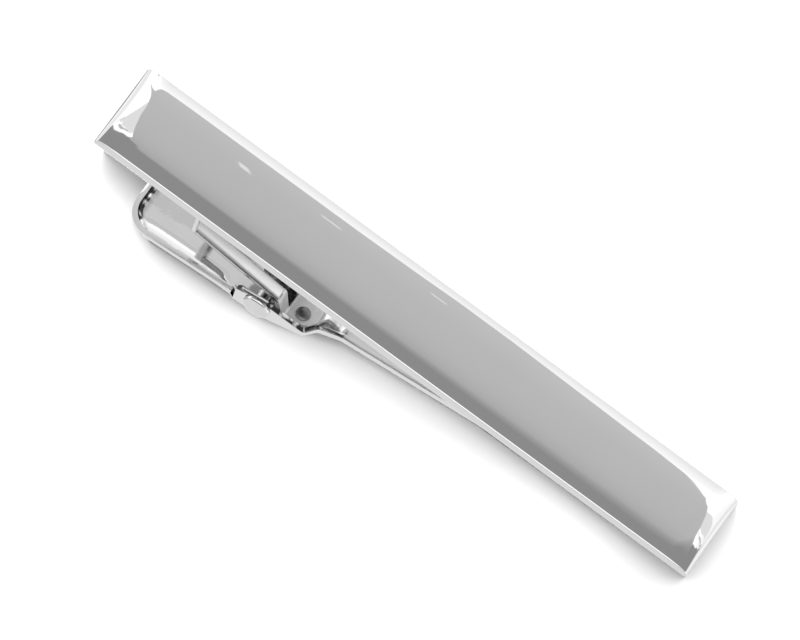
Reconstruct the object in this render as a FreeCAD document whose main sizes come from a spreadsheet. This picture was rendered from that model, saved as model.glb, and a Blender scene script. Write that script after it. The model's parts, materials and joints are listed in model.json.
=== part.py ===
import FreeCAD, Part
import math
import os
import re
import Sketcher

# Tie clip: a domed bar with a sprung clip behind it, in millimetres and degrees.
#
# The bar frame has its origin on the back of the bar, at the paddle end, halfway across.
# X runs along the bar, Z points out of its front. The lever frame has its origin on the
# pin's axis, with X along the floor of the paddle towards the jaw. Everything is drawn
# closed and then laid on a table, on the heel of the lever and the jaw end of the bar.

SIZES = {
    # Front bar
    "bar_length": 58.0,
    "bar_width": 8.0,
    "bar_edge": 0.95,
    "bar_crown": 0.5,
    "bar_end_round": 0.6,
    "bar_edge_round": 0.15,
    # Hinge pin and its place behind the bar
    "pin_from_end": 18.02,
    "pin_drop": 6.35,
    "pin_radius": 0.5,
    "pin_play": 0.04,
    "pin_head_radius": 1.2,
    "pin_head_height": 0.45,
    "pin_head_round": 0.3,
    "pin_head_play": 0.06,
    # Bracket on the back of the bar
    "bracket_sheet": 0.4,
    "bracket_width": 3.4,
    "bracket_foot_length": 6.4,
    "bracket_foot_width": 5.0,
    "lug_top_width": 4.0,
    "lug_radius": 0.9,
    # Lever: dished paddle and ears
    "paddle_angle": 6.9,
    "paddle_tail": 12.9,
    "lever_width": 7.5,
    "lever_sheet": 0.42,
    "floor_drop": 1.19,
    "rim_height": 0.95,
    "tail_corner": 2.4,
    "heel_round": 0.4,
    "ear_back": 2.1,
    "ear_notch": 0.3,
    "ear_top": 0.85,
    "ear_flat": 0.7,
    "ear_tail": 0.5,
    # Lever: kinked neck and toothed jaw arm
    "kink_start": 4.9,
    "shoulder_run": 0.78,
    "shoulder_width": 6.4,
    "kink_run": 2.1,
    "kink_rise": 1.0,
    "arm_reach": 32.6,
    "arm_width": 4.4,
    "arm_flange": 1.0,
    "nose_height": 1.46,
    "nose_corner": 0.8,
    "tooth_gap": 0.12,
    "tooth_depth": 0.45,
    # Forked flat spring
    "spring_sheet": 0.3,
    "spring_side_play": 0.33,
    "prong_play": 0.2,
    "riser_play": 0.65,
    "riser_lean": 0.6,
    "blade_height": 1.18,
    "blade_angle": 15.1,
    "blade_run": 8.8,
    "blade_crossbar": 0.6,
    "blade_round": 0.4,
    "lip_gap": 0.05,
    "foot_end_gap": 0.3,
    "foot_side_gap": 0.5,
    # Two rivets through the spring's foot
    "rivet_gap": 0.6,
    "rivet_from_side": 1.36,
    "rivet_radius": 0.32,
    "rivet_head_radius": 0.62,
    "rivet_head_height": 0.24,
    "rivet_head_round": 0.18,
    # How far a cutting outline runs past what it cuts
    "overcut": 1.0,
}
TEETH = 5

X_AXIS = FreeCAD.Vector(1, 0, 0)
Y_AXIS = FreeCAD.Vector(0, 1, 0)
Z_AXIS = FreeCAD.Vector(0, 0, 1)

doc = FreeCAD.newDocument("tie_clip")
sheet = doc.addObject("Spreadsheet::Sheet", "Sizes")
for row, (name, value) in enumerate(SIZES.items(), start=1):
    sheet.set(f"A{row}", name)
    sheet.set(f"B{row}", str(value))
    sheet.setAlias(f"B{row}", name)
doc.recompute()


def on_sheet(formula):
    """Point every size that a formula names at its cell."""
    return re.sub(r"[a-z_]+", lambda word: f"Sizes.{word[0]}" if word[0] in SIZES else word[0], formula)


def size(name):
    """Read one size back from the sheet."""
    return float(getattr(sheet, name))


def new_body(label):
    """Start a piece."""
    body = doc.addObject("PartDesign::Body", label)
    body.Label = label
    return body


def new_sketch(body, plane, name, lift="0"):
    """Start a sketch on one of the piece's own planes, lifted along the plane's normal."""
    sketch = body.newObject("Sketcher::SketchObject", f"{body.Label}_{name}")
    support = next(feature for feature in body.Origin.OriginFeatures if feature.Role == plane)
    sketch.AttachmentSupport = [(support, "")]
    sketch.MapMode = "FlatFace"
    sketch.setExpression("AttachmentOffset.Base.z", on_sheet(lift))
    return sketch


def hold(sketch, kind, geometry, end, formula):
    """Tie one end of a line, or a curve's size, to a formula, starting from where it was drawn."""
    if kind == "Radius":
        drawn = sketch.Geometry[geometry].Radius
        number = sketch.addConstraint(Sketcher.Constraint(kind, geometry, drawn))
    else:
        spot = sketch.getPoint(geometry, end)
        drawn = spot.x if kind == "DistanceX" else spot.y
        number = sketch.addConstraint(Sketcher.Constraint(kind, -1, 1, geometry, end, drawn))
    sketch.setExpression(f"Constraints[{number}]", on_sheet(formula))


def draw_outline(sketch, corners):
    """Closed outline with straight sides, each corner a pair of formulas."""
    first = sketch.GeometryCount
    count = len(corners)
    turn = 2.0 * math.pi / count
    spots = [FreeCAD.Vector(math.cos(turn * step), math.sin(turn * step), 0) for step in range(count)]
    for step in range(count):
        sketch.addGeometry(Part.LineSegment(spots[step], spots[(step + 1) % count]))
    for step, (across, up) in enumerate(corners):
        following = first + (step + 1) % count
        sketch.addConstraint(Sketcher.Constraint("Coincident", first + step, 2, following, 1))
        hold(sketch, "DistanceX", first + step, 1, across)
        hold(sketch, "DistanceY", first + step, 1, up)


def draw_circle(sketch, across, up, radius):
    """Circle whose centre and radius are formulas."""
    circle = sketch.addGeometry(Part.Circle(FreeCAD.Vector(), Z_AXIS, 1.0))
    hold(sketch, "DistanceX", circle, 3, across)
    hold(sketch, "DistanceY", circle, 3, up)
    hold(sketch, "Radius", circle, 0, radius)


def settle(feature):
    """Work out the document, and stop if the newest feature failed."""
    doc.recompute()
    if "Invalid" in feature.State:
        raise RuntimeError(f"{feature.Name} failed: {feature.getStatusString()}")


def add_pad(body, sketch, length, symmetric=False):
    """Raise a sketch into the piece, to one side or to both alike."""
    pad = body.newObject("PartDesign::Pad", f"{sketch.Name}_pad")
    pad.Profile = sketch
    pad.setExpression("Length", on_sheet(length))
    if symmetric:
        pad.SideType = "Symmetric"
    settle(pad)


def add_pocket(body, sketch, length, symmetric=False):
    """Cut a sketch out of the piece, and make sure that it cut something."""
    before = body.Shape.Volume
    pocket = body.newObject("PartDesign::Pocket", f"{sketch.Name}_pocket")
    pocket.Profile = sketch
    pocket.setExpression("Length", on_sheet(length))
    if symmetric:
        pocket.SideType = "Symmetric"
    settle(pocket)
    if body.Shape.Volume >= before:
        raise RuntimeError(f"{pocket.Name} cuts nothing")


def add_revolution(body, sketch, axis):
    """Turn a half section about one of its sketch's own axes."""
    revolution = body.newObject("PartDesign::Revolution", f"{sketch.Name}_revolution")
    revolution.Profile = sketch
    revolution.ReferenceAxis = (sketch, [axis])
    settle(revolution)


def add_fillet(body, name, radius, wanted):
    """Round the edges of the piece whose middle passes the test."""
    base = body.Tip
    numbered = enumerate(base.Shape.Edges, start=1)
    names = [f"Edge{number}" for number, edge in numbered if wanted(edge.CenterOfMass, edge)]
    fillet = body.newObject("PartDesign::Fillet", f"{body.Label}_{name}")
    fillet.Base = (base, names)
    fillet.setExpression("Radius", on_sheet(radius))
    settle(fillet)


def near(first, second):
    """Whether two lengths are the same, apart from rounding."""
    return abs(first - second) < 1e-4


def runs_along(edge, axis):
    """Whether a straight edge runs along an axis."""
    start, end = edge.Vertexes[0].Point, edge.Vertexes[-1].Point
    return near(abs((end - start).dot(axis)), edge.Length)


def under_bar(across, gap):
    """Height in the lever frame of a line that lies a gap below the back of the bar."""
    return f"((pin_drop - {gap} - ({across}) * sin(paddle_angle * 1 deg)) / cos(paddle_angle * 1 deg))"


# Formulas that several pieces share, in the lever frame
UNDERSIDE = "-(floor_drop + lever_sheet)"
HALF_LEVER = "lever_width / 2"
HALF_TRAY = "(lever_width / 2 - lever_sheet)"
HALF_SHOULDER = "shoulder_width / 2"
INNER_SHOULDER = "(shoulder_width / 2 - lever_sheet)"
RIM_END = "-(ear_back + ear_notch)"
SHOULDER = "(kink_start - shoulder_run)"
ARM_START = "(kink_start + kink_run)"
KINK_TOP = f"({UNDERSIDE} + kink_rise)"
TIP = f"({under_bar('arm_reach', 'tooth_gap')} - nose_height)"
RISER_BACK = "(pin_radius + riser_play)"
RISER = f"({RISER_BACK} + spring_sheet)"
RISER_FOOT = f"({RISER} + riser_lean)"
RIVET = f"({RISER_FOOT} + rivet_gap + rivet_head_radius)"
SPRING_WIDTH = "(lever_width - 2 * lever_sheet - 2 * spring_side_play)"
RIVET_ACROSS = f"({SPRING_WIDTH} / 2 - rivet_from_side)"


def arm_underside(across):
    """Height of the arm's underside, which runs straight from the kink to the tip."""
    return f"({KINK_TOP} + ({across} - {ARM_START}) * ({TIP} - {KINK_TOP}) / (arm_reach - {ARM_START}))"


def blade_top(across):
    """Height of the spring blade's upper face."""
    return f"(blade_height + ({RISER} - ({across})) * tan(blade_angle * 1 deg))"


def make_front_bar():
    """Bar with a flat back and a crowned front, drawn as a section and drawn out along X."""
    body = new_body("front_bar")
    section = new_sketch(body, "YZ_Plane", "section")
    half, edge, crown = size("bar_width") / 2, size("bar_edge"), size("bar_crown")
    corners = [(-half, edge), (-half, 0.0), (half, 0.0), (half, edge)]
    spots = [FreeCAD.Vector(across, up, 0.0) for across, up in corners]
    for start, end in zip(spots, spots[1:]):
        section.addGeometry(Part.LineSegment(start, end))
    crest = FreeCAD.Vector(0.0, edge + crown, 0.0)
    front = section.addGeometry(Part.Arc(spots[3], crest, spots[0]))
    for line, start in enumerate(("-bar_width / 2", "-bar_width / 2", "bar_width / 2")):
        hold(section, "DistanceX", line, 1, start)
        hold(section, "DistanceY", line, 1, "bar_edge" if line == 0 else "0")
    hold(section, "DistanceX", 2, 2, "bar_width / 2")
    hold(section, "DistanceY", 2, 2, "bar_edge")
    section.addConstraint(Sketcher.Constraint("Coincident", 0, 2, 1, 1))
    section.addConstraint(Sketcher.Constraint("Coincident", 1, 2, 2, 1))
    section.addConstraint(Sketcher.Constraint("Coincident", 2, 2, front, 1))
    section.addConstraint(Sketcher.Constraint("Coincident", front, 2, 0, 1))
    hold(section, "Radius", front, 0, "(bar_width ^ 2 / 4 + bar_crown ^ 2) / (2 * bar_crown)")
    add_pad(body, section, "bar_length")
    add_fillet(body, "ends", "bar_end_round",
               lambda middle, line: middle.z > edge and not runs_along(line, X_AXIS))
    add_fillet(body, "sides", "bar_edge_round",
               lambda middle, line: near(middle.z, edge) and runs_along(line, X_AXIS))
    return body


def make_hinge_bracket():
    """Folded bracket: a foot soldered to the bar and two lugs with rounded ends for the pin."""
    body = new_body("hinge_bracket")
    foot = new_sketch(body, "XY_Plane", "foot", "-bracket_sheet")
    half_length, half_width = "bracket_foot_length / 2", "bracket_foot_width / 2"
    draw_outline(foot, [
        (f"-{half_length}", f"-{half_width}"),
        (half_length, f"-{half_width}"),
        (half_length, half_width),
        (f"-{half_length}", half_width),
    ])
    add_pad(body, foot, "bracket_sheet")
    lugs = new_sketch(body, "XZ_Plane", "lugs")
    draw_outline(lugs, [
        ("-lug_top_width / 2", "-bracket_sheet"),
        ("-lug_radius", "-pin_drop"),
        ("lug_radius", "-pin_drop"),
        ("lug_top_width / 2", "-bracket_sheet"),
    ])
    add_pad(body, lugs, "bracket_width", symmetric=True)
    lug_ends = new_sketch(body, "XZ_Plane", "lug_ends")
    draw_circle(lug_ends, "0", "-pin_drop", "lug_radius")
    add_pad(body, lug_ends, "bracket_width", symmetric=True)
    between = new_sketch(body, "XZ_Plane", "between_lugs")
    lowest = "-(pin_drop + lug_radius + overcut)"
    draw_outline(between, [
        ("-lug_top_width", "-bracket_sheet"),
        ("-lug_top_width", lowest),
        ("lug_top_width", lowest),
        ("lug_top_width", "-bracket_sheet"),
    ])
    add_pocket(body, between, "bracket_width - 2 * bracket_sheet", symmetric=True)
    pin_holes = new_sketch(body, "XZ_Plane", "pin_holes")
    draw_circle(pin_holes, "0", "-pin_drop", "pin_radius")
    add_pocket(body, pin_holes, "bracket_width + overcut", symmetric=True)
    return body


def make_hinge_pin():
    """Riveted pin with a rounded head outside each ear."""
    body = new_body("hinge_pin")
    section = new_sketch(body, "XY_Plane", "half_section")
    neck = "(lever_width / 2 + pin_head_play)"
    crown = f"({neck} + pin_head_height)"
    draw_outline(section, [
        ("0", f"-{crown}"),
        ("pin_head_radius", f"-{crown}"),
        ("pin_head_radius", f"-{neck}"),
        ("pin_radius", f"-{neck}"),
        ("pin_radius", neck),
        ("pin_head_radius", neck),
        ("pin_head_radius", crown),
        ("0", crown),
    ])
    add_revolution(body, section, "V_Axis")
    outer = size("lever_width") / 2 + size("pin_head_play") + size("pin_head_height")
    add_fillet(body, "heads", "pin_head_round", lambda middle, edge: near(abs(middle.y), outer))
    return body


def add_paddle(body):
    """Dished paddle: a plate hollowed to leave its floor and its rim, with a rounded tail."""
    outline = new_sketch(body, "XY_Plane", "outline", UNDERSIDE)
    draw_outline(outline, [
        ("-paddle_tail", f"-{HALF_LEVER}"),
        ("ear_flat", f"-{HALF_LEVER}"),
        (SHOULDER, f"-{HALF_SHOULDER}"),
        ("kink_start", "-arm_width / 2"),
        ("kink_start", "arm_width / 2"),
        (SHOULDER, HALF_SHOULDER),
        ("ear_flat", HALF_LEVER),
        ("-paddle_tail", HALF_LEVER),
    ])
    add_pad(body, outline, "lever_sheet + rim_height")
    tray = new_sketch(body, "XY_Plane", "tray", "rim_height - floor_drop")
    inner_tail = "lever_sheet - paddle_tail"
    draw_outline(tray, [
        (inner_tail, f"-{HALF_TRAY}"),
        (RIM_END, f"-{HALF_TRAY}"),
        (RIM_END, "-lever_width"),
        ("kink_start + overcut", "-lever_width"),
        ("kink_start + overcut", "lever_width"),
        (RIM_END, "lever_width"),
        (RIM_END, HALF_TRAY),
        (inner_tail, HALF_TRAY),
    ])
    add_pocket(body, tray, "rim_height")
    tail = -size("paddle_tail")
    inside = tail + size("lever_sheet")
    underside = -size("floor_drop") - size("lever_sheet")
    shoulder = size("kink_start") - size("shoulder_run")
    add_fillet(body, "tray_corners", "tail_corner - lever_sheet",
               lambda middle, edge: near(middle.x, inside) and runs_along(edge, Z_AXIS))
    add_fillet(body, "tail_corners", "tail_corner",
               lambda middle, edge: near(middle.x, tail) and runs_along(edge, Z_AXIS))
    add_fillet(body, "heel", "heel_round",
               lambda middle, edge: near(middle.z, underside) and middle.x < shoulder)


def add_ears(body):
    """Two upright ears for the pin, which slope down and draw in to the shoulders of the lever."""
    ears = new_sketch(body, "XZ_Plane", "ears")
    draw_outline(ears, [
        ("-ear_back", "-floor_drop"),
        ("-ear_back", "ear_top"),
        ("ear_flat", "ear_top"),
        (SHOULDER, "ear_tail - floor_drop"),
        (SHOULDER, "-floor_drop"),
    ])
    add_pad(body, ears, "lever_width", symmetric=True)
    past_shoulder = f"({SHOULDER} + overcut)"
    down_to_floor = "ear_top + overcut + floor_drop"
    between = new_sketch(body, "XY_Plane", "between_ears", "ear_top + overcut")
    draw_outline(between, [
        (RIM_END, f"-{HALF_TRAY}"),
        ("ear_flat", f"-{HALF_TRAY}"),
        (SHOULDER, f"-{INNER_SHOULDER}"),
        (past_shoulder, f"-{INNER_SHOULDER}"),
        (past_shoulder, INNER_SHOULDER),
        (SHOULDER, INNER_SHOULDER),
        ("ear_flat", HALF_TRAY),
        (RIM_END, HALF_TRAY),
    ])
    add_pocket(body, between, down_to_floor)
    outside = new_sketch(body, "XY_Plane", "outside_ears", "ear_top + overcut")
    for side_of in ("", "-"):
        draw_outline(outside, [
            ("ear_flat", f"{side_of}{HALF_LEVER}"),
            (SHOULDER, f"{side_of}{HALF_SHOULDER}"),
            (past_shoulder, f"{side_of}{HALF_SHOULDER}"),
            (past_shoulder, f"{side_of}{HALF_LEVER}"),
        ])
    add_pocket(body, outside, down_to_floor)
    pin_holes = new_sketch(body, "XZ_Plane", "pin_holes")
    draw_circle(pin_holes, "0", "0", "pin_radius + pin_play")
    add_pocket(body, pin_holes, "lever_width + overcut", symmetric=True)
    rivet_holes = new_sketch(body, "XY_Plane", "rivet_holes", "-floor_drop")
    draw_circle(rivet_holes, RIVET, RIVET_ACROSS, "rivet_radius")
    draw_circle(rivet_holes, RIVET, f"-{RIVET_ACROSS}", "rivet_radius")
    add_pocket(body, rivet_holes, "lever_sheet + overcut")


def add_jaw_arm(body):
    """Channel arm that rises through the kink and ends in a toothed nose below the bar."""
    inner_tip = "(arm_reach - lever_sheet)"
    side = new_sketch(body, "XZ_Plane", "arm_side")
    draw_outline(side, [
        ("kink_start", UNDERSIDE),
        (ARM_START, KINK_TOP),
        ("arm_reach", TIP),
        ("arm_reach", f"{TIP} + arm_flange"),
        (ARM_START, f"{KINK_TOP} + arm_flange"),
        ("kink_start", f"{UNDERSIDE} + arm_flange"),
    ])
    add_pad(body, side, "arm_width", symmetric=True)
    channel = new_sketch(body, "XZ_Plane", "channel")
    draw_outline(channel, [
        ("kink_start", "-floor_drop"),
        (ARM_START, f"{KINK_TOP} + lever_sheet"),
        (inner_tip, f"{arm_underside(inner_tip)} + lever_sheet"),
        (inner_tip, f"{TIP} + arm_flange + overcut"),
        ("kink_start", f"{TIP} + arm_flange + overcut"),
    ])
    add_pocket(body, channel, "arm_width - 2 * lever_sheet", symmetric=True)
    nose = new_sketch(body, "XZ_Plane", "nose")
    draw_outline(nose, [
        (inner_tip, arm_underside(inner_tip)),
        ("arm_reach", TIP),
        ("arm_reach", under_bar("arm_reach", "tooth_gap")),
        (inner_tip, under_bar(inner_tip, "tooth_gap")),
    ])
    add_pad(body, nose, "arm_width", symmetric=True)
    reach = size("arm_reach")
    add_fillet(body, "nose_corners", "nose_corner",
               lambda middle, edge: near(middle.x, reach) and runs_along(edge, Z_AXIS))
    notches = new_sketch(body, "YZ_Plane", "notches", "arm_reach + overcut")
    pitch = f"(arm_width / {TEETH})"
    crest = under_bar(inner_tip, "tooth_gap")
    for tooth in range(1, TEETH):
        middle = f"{pitch} * {tooth} - arm_width / 2"
        draw_outline(notches, [
            (middle, f"{crest} - tooth_depth"),
            (f"{middle} + {pitch} / 2", crest),
            (f"{middle} - {pitch} / 2", crest),
        ])
    add_pocket(body, notches, "lever_sheet + 2 * overcut")


def make_clip_lever():
    """One pressing, from the dished paddle to the toothed nose."""
    body = new_body("clip_lever")
    add_paddle(body)
    add_ears(body)
    add_jaw_arm(body)
    return body


def make_fork_spring():
    """Flat spring: a riveted foot, two risers, a prong on each side of the bracket, a lip at the bar."""
    body = new_body("fork_spring")
    tail = f"({RISER} - blade_run)"
    tail_front = f"({tail} + spring_sheet)"
    under_blade = "spring_sheet / cos(blade_angle * 1 deg)"
    foot_end = "(kink_start - foot_end_gap)"
    side = new_sketch(body, "XZ_Plane", "side")
    draw_outline(side, [
        (foot_end, "-floor_drop"),
        (f"{RISER_BACK} + riser_lean", "-floor_drop"),
        (RISER_BACK, f"{blade_top(RISER_BACK)} - {under_blade}"),
        (tail, f"{blade_top(tail)} - {under_blade}"),
        (tail, under_bar(tail, "lip_gap")),
        (tail_front, under_bar(tail_front, "lip_gap")),
        (tail_front, blade_top(tail_front)),
        (RISER, "blade_height"),
        (RISER_FOOT, "spring_sheet - floor_drop"),
        (foot_end, "spring_sheet - floor_drop"),
    ])
    add_pad(body, side, SPRING_WIDTH, symmetric=True)
    top = size("blade_height")
    add_fillet(body, "bend", "blade_round",
               lambda middle, edge: near(middle.z, top) and runs_along(edge, Y_AXIS))
    slot = new_sketch(body, "XY_Plane", "slot")
    half_slot = "(bracket_width / 2 + prong_play)"
    draw_outline(slot, [
        (f"{tail_front} + blade_crossbar", f"-{half_slot}"),
        (RISER_FOOT, f"-{half_slot}"),
        (RISER_FOOT, half_slot),
        (f"{tail_front} + blade_crossbar", half_slot),
    ])
    add_pocket(body, slot, "2 * pin_drop", symmetric=True)
    corners = new_sketch(body, "XY_Plane", "foot_corners")
    half_spring = f"({SPRING_WIDTH} / 2)"
    half_foot = f"({INNER_SHOULDER} - spring_side_play)"
    half_tip = "(arm_width / 2 - foot_side_gap)"
    for side_of in ("", "-"):
        draw_outline(corners, [
            (RISER, f"{side_of}{half_spring}"),
            (f"{foot_end} + overcut", f"{side_of}{half_spring}"),
            (f"{foot_end} + overcut", f"{side_of}{half_tip}"),
            (foot_end, f"{side_of}{half_tip}"),
            (SHOULDER, f"{side_of}{half_foot}"),
        ])
    add_pocket(body, corners, "2 * pin_drop", symmetric=True)
    rivet_holes = new_sketch(body, "XY_Plane", "rivet_holes")
    draw_circle(rivet_holes, RIVET, RIVET_ACROSS, "rivet_radius")
    draw_circle(rivet_holes, RIVET, f"-{RIVET_ACROSS}", "rivet_radius")
    add_pocket(body, rivet_holes, "2 * pin_drop", symmetric=True)
    return body


def make_spring_rivet(label):
    """Rivet with a rounded head on the spring's foot, flush with the underside of the lever."""
    body = new_body(label)
    section = new_sketch(body, "XZ_Plane", "half_section")
    draw_outline(section, [
        ("0", "-lever_sheet"),
        ("rivet_radius", "-lever_sheet"),
        ("rivet_radius", "spring_sheet"),
        ("rivet_head_radius", "spring_sheet"),
        ("rivet_head_radius", "spring_sheet + rivet_head_height"),
        ("0", "spring_sheet + rivet_head_height"),
    ])
    add_revolution(body, section, "V_Axis")
    top = size("spring_sheet") + size("rivet_head_height")
    add_fillet(body, "head", "rivet_head_round", lambda middle, edge: near(middle.z, top))
    return body


def turn_about_y(degrees):
    """Turn about Y, which lowers the jaw end when it is positive."""
    return FreeCAD.Rotation(Y_AXIS, degrees)


def place_pieces(pieces):
    """Put each piece in the bar frame, then lay the whole clip on the table."""
    pin = FreeCAD.Vector(size("pin_from_end"), 0, -size("pin_drop"))
    lever = FreeCAD.Placement(pin, turn_about_y(-size("paddle_angle")))
    to_rivet = ("pin_radius", "riser_play", "spring_sheet", "riser_lean", "rivet_gap", "rivet_head_radius")
    rivet_along = sum(size(name) for name in to_rivet)
    rivet_across = (size("lever_width") / 2 - size("lever_sheet") - size("spring_side_play")
                    - size("rivet_from_side"))
    left_seat = FreeCAD.Vector(rivet_along, rivet_across, -size("floor_drop"))
    right_seat = FreeCAD.Vector(rivet_along, -rivet_across, -size("floor_drop"))
    in_bar_frame = {
        "front_bar": FreeCAD.Placement(),
        "hinge_bracket": FreeCAD.Placement(FreeCAD.Vector(pin.x, 0, 0), FreeCAD.Rotation()),
        "hinge_pin": FreeCAD.Placement(pin, FreeCAD.Rotation()),
        "clip_lever": lever,
        "fork_spring": lever,
        "spring_rivet_left": lever * FreeCAD.Placement(left_seat, FreeCAD.Rotation()),
        "spring_rivet_right": lever * FreeCAD.Placement(right_seat, FreeCAD.Rotation()),
    }
    underside = -size("floor_drop") - size("lever_sheet")
    stands_on = [
        lever.multVec(FreeCAD.Vector(size("kink_start"), 0, underside)),
        lever.multVec(FreeCAD.Vector(size("tail_corner") - size("paddle_tail"), 0, underside)),
        pin - FreeCAD.Vector(0, 0, size("pin_head_radius")),
    ]
    tilt = max(math.atan2(-point.z, size("bar_length") - point.x) for point in stands_on)
    laid = FreeCAD.Placement(FreeCAD.Vector(), turn_about_y(math.degrees(tilt)))
    for piece in pieces:
        piece.Placement = laid * in_bar_frame[piece.Label]
    doc.recompute()
    whole = FreeCAD.BoundBox()
    for piece in pieces:
        whole.add(piece.Shape.optimalBoundingBox(False))
    table_centre = FreeCAD.Vector(whole.Center.x, whole.Center.y, whole.ZMin)
    for piece in pieces:
        piece.Placement = FreeCAD.Placement(-table_centre, FreeCAD.Rotation()) * piece.Placement
    doc.recompute()


def check_pieces(pieces):
    """Stop if any feature failed, or if any piece isn't one sound solid."""
    for item in doc.Objects:
        if "Invalid" in item.State or "Error" in item.State:
            raise RuntimeError(f"{item.Name} failed: {item.State}")
    for piece in pieces:
        if piece.Shape.isNull() or not piece.Shape.isValid() or len(piece.Shape.Solids) != 1:
            raise RuntimeError(f"{piece.Label} is not one sound solid")


pieces = [
    make_front_bar(),
    make_hinge_bracket(),
    make_hinge_pin(),
    make_clip_lever(),
    make_fork_spring(),
    make_spring_rivet("spring_rivet_left"),
    make_spring_rivet("spring_rivet_right"),
]
place_pieces(pieces)
check_pieces(pieces)
os.makedirs("parts", exist_ok=True)
for piece in pieces:
    piece.Shape.exportStep(f"parts/{piece.Label}.step")
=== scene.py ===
import json
import math

import bmesh
import bpy
from mathutils import Matrix, Vector


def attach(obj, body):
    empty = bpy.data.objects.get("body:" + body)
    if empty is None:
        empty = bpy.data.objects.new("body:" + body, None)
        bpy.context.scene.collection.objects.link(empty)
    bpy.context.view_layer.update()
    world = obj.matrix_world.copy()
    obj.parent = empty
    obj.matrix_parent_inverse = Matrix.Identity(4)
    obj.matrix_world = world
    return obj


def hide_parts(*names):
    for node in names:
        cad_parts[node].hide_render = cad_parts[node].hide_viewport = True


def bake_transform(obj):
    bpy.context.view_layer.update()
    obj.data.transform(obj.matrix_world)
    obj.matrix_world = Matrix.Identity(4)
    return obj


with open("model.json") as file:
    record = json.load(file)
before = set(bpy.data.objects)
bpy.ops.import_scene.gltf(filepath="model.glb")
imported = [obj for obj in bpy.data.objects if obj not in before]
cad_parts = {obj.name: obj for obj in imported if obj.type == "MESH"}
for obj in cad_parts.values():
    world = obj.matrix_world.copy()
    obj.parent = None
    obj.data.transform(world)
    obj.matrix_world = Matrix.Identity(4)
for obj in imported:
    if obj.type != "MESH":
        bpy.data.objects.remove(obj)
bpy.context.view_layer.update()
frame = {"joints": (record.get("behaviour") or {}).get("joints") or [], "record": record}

# Tie clip: a domed, mirror polished bar with a sprung, toothed clip lever behind it.
# Shapes are drawn in millimetres, in the bar's or the lever's own frame, and laid in the row frame.
# The bar frame starts on the back of the bar, at the paddle end. The lever frame starts on the pin.
MM = 0.001

# Bar
BAR_LENGTH = 58.0
BAR_WIDTH = 8.0
BAR_EDGE = 0.95
BAR_CROWN = 0.5
BAR_TOP_ROUND = 0.09
BAR_BACK_ROUND = 0.15
BAR_CORNER_ROUND = 0.12
BACK_LEAN = math.radians(10.0)
END_ROLL_LENGTH = 2.3
END_CROWN_LEFT = 0.01
END_DROP = 0.4
END_DROP_LENGTH = 1.3
END_DROP_POWER = 4

# Hinge
HEAD_RIM_SHARE = 0.25
PIN_FROM_END = 18.02
PIN_DROP = 6.35
PIN_RADIUS = 0.5
PIN_HEAD_RADIUS = 1.2
PIN_HEAD_HEIGHT = 0.45
PIN_HEAD_FROM_MIDDLE = 3.81
BRACKET_SHEET = 0.4
BRACKET_WIDTH = 3.4
FOOT_LENGTH = 6.4
FOOT_WIDTH = 5.0
FOOT_CORNER = 0.6
LUG_TOP_WIDTH = 4.0
LUG_RADIUS = 0.9
SOLDER_FILM = 0.002
BRACKET_EDGE = 0.07

# Lever
SHEET = 0.42
LEVER_WIDTH = 7.5
PADDLE_TAIL = 12.9
TAIL_CORNER = 2.4
FLOOR_TOP = -1.19
RIM_TOP = -0.24
EAR_BACK = -2.1
EAR_NOTCH = 0.3
EAR_TOP = 0.85
EAR_CORNER = 0.35
EAR_FLAT_END = 0.7
EAR_TAIL = -0.69
KINK_START = 4.9
SHOULDER_RUN = 0.78
SHOULDER_WIDTH = 6.4
KINK_RUN = 2.1
KINK_RISE = 1.0
KINK_EASE = 0.35
EASE_SHIFTS = (-1.0, -0.5, 0.0, 0.5, 1.0)
ARM_REACH = 32.6
ARM_WIDTH = 4.4
ARM_FLANGE = 1.0
NOSE_HEIGHT = 1.46
TOOTH_GAP = 0.12
TOOTH_DEPTH = 0.45
TEETH = 5
NOSE_TEETH = 3
TOOTH_PITCH = ARM_WIDTH / TEETH
SHOULDER_ROUND = 0.6
PADDLE_BEND = 0.75
DISH_RISE = 0.2
DISH_RUN = 1.4
DISH_TILT = math.atan(2.0 * DISH_RISE / DISH_RUN)
TIGHT_BEND = 0.32
LEVER_EDGE = 0.06

# Spring and rivet
SPRING_SHEET = 0.3
SPRING_WIDTH = 6.0
SLOT_WIDTH = 3.8
SPRING_FOOT_END = 4.6
SPRING_FOOT_WIDTH = 4.9
SPRING_FOOT_TIP = 3.4
RISER_FRONT = 1.45
RISER_LEAN = 0.6
BLADE_HEIGHT = 1.18
BLADE_SLOPE = math.tan(math.radians(15.1))
BLADE_RUN = 8.8
PRONG_TWIST = math.radians(25.0)
PRONG_EDGE_FLAT = 0.4
CROSSBAR = 0.6
LIP_GAP = 0.05
SPRING_BEND = 0.4
LIP_BEND = 0.2
SPRING_EDGE = 0.07
RIVET_FROM_PIN = 3.27
RIVET_FROM_MIDDLE = 1.64
RIVET_RADIUS = 0.32
RIVET_HEAD_RADIUS = 0.62
RIVET_HEAD_HEIGHT = 0.24

# Fineness of the meshes
SHORTEST = 0.001
SIDE_STEP = 0.4
ARC_STEP = math.radians(9.0)
BEND_STEPS = 6
WALL_STEPS = 4
LATHE_STEPS = 64
DOME_STEPS = 24
ROLL_STEPS = 16
HEAD_STEPS = 12
LUG_STEPS = 18
BACK_SHARES = (0.0, 0.3, 0.6, 0.85)
RIM_HOLD = 0.01
LEVER_COLUMNS = 24
PRONG_COLUMNS = 9
SLOT_COLUMNS = 4
EDGE_SEGMENTS = 3
EDGE_ANGLE = math.radians(40.0)
SHARP_ANGLE = math.radians(35.0)
SECOND_FINISH = 1

mounts = {mount["name"]: mount for mount in frame["record"]["mounts"]}
pin = Vector(frame["joints"][0]["pos_m"])


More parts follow.
